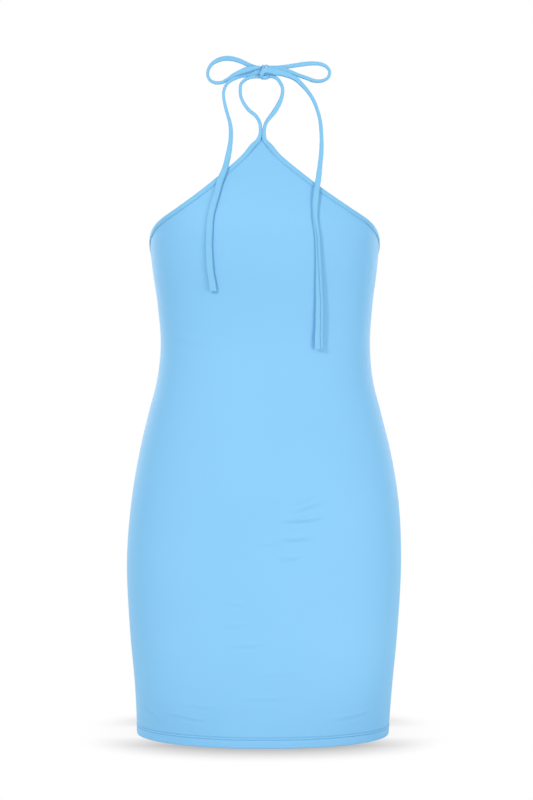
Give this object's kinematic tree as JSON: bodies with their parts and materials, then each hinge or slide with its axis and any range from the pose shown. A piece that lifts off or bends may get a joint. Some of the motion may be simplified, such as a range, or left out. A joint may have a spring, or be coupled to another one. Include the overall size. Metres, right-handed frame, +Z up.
{
  "type": "halter dress",
  "caption": "Filled-out sleeveless stretch dress with a pointed halter front, low back, bound top edge, and neck straps tied in a bow.",
  "frame": {"origin": "inside the top of the neck loop, just under the knot, where the dress is held up", "axes": "+Z up, -Y the way the front of the dress faces, +X to the right of someone looking at the front"},
  "size_m": [0.3409, 0.2291, 0.8342],
  "materials": {
    "body_jersey": "smooth matt stretch jersey, sky blue",
    "binding_jersey": "folded strip of the same jersey, top-stitched",
    "strap_jersey": "narrow folded strip of the same jersey, top-stitched"
  },
  "bodies": {
    "root": {"front_panel": "body_jersey", "back_panel": "body_jersey", "neck_binding_left": "binding_jersey", "neck_binding_right": "binding_jersey", "back_binding": "binding_jersey", "neck_strap_left": "strap_jersey", "neck_strap_right": "strap_jersey", "bow_knot": "strap_jersey", "bow_loop_left": "strap_jersey", "bow_loop_right": "strap_jersey", "tie_end_left": "strap_jersey", "tie_end_right": "strap_jersey"}
  },
  "joints": []
}
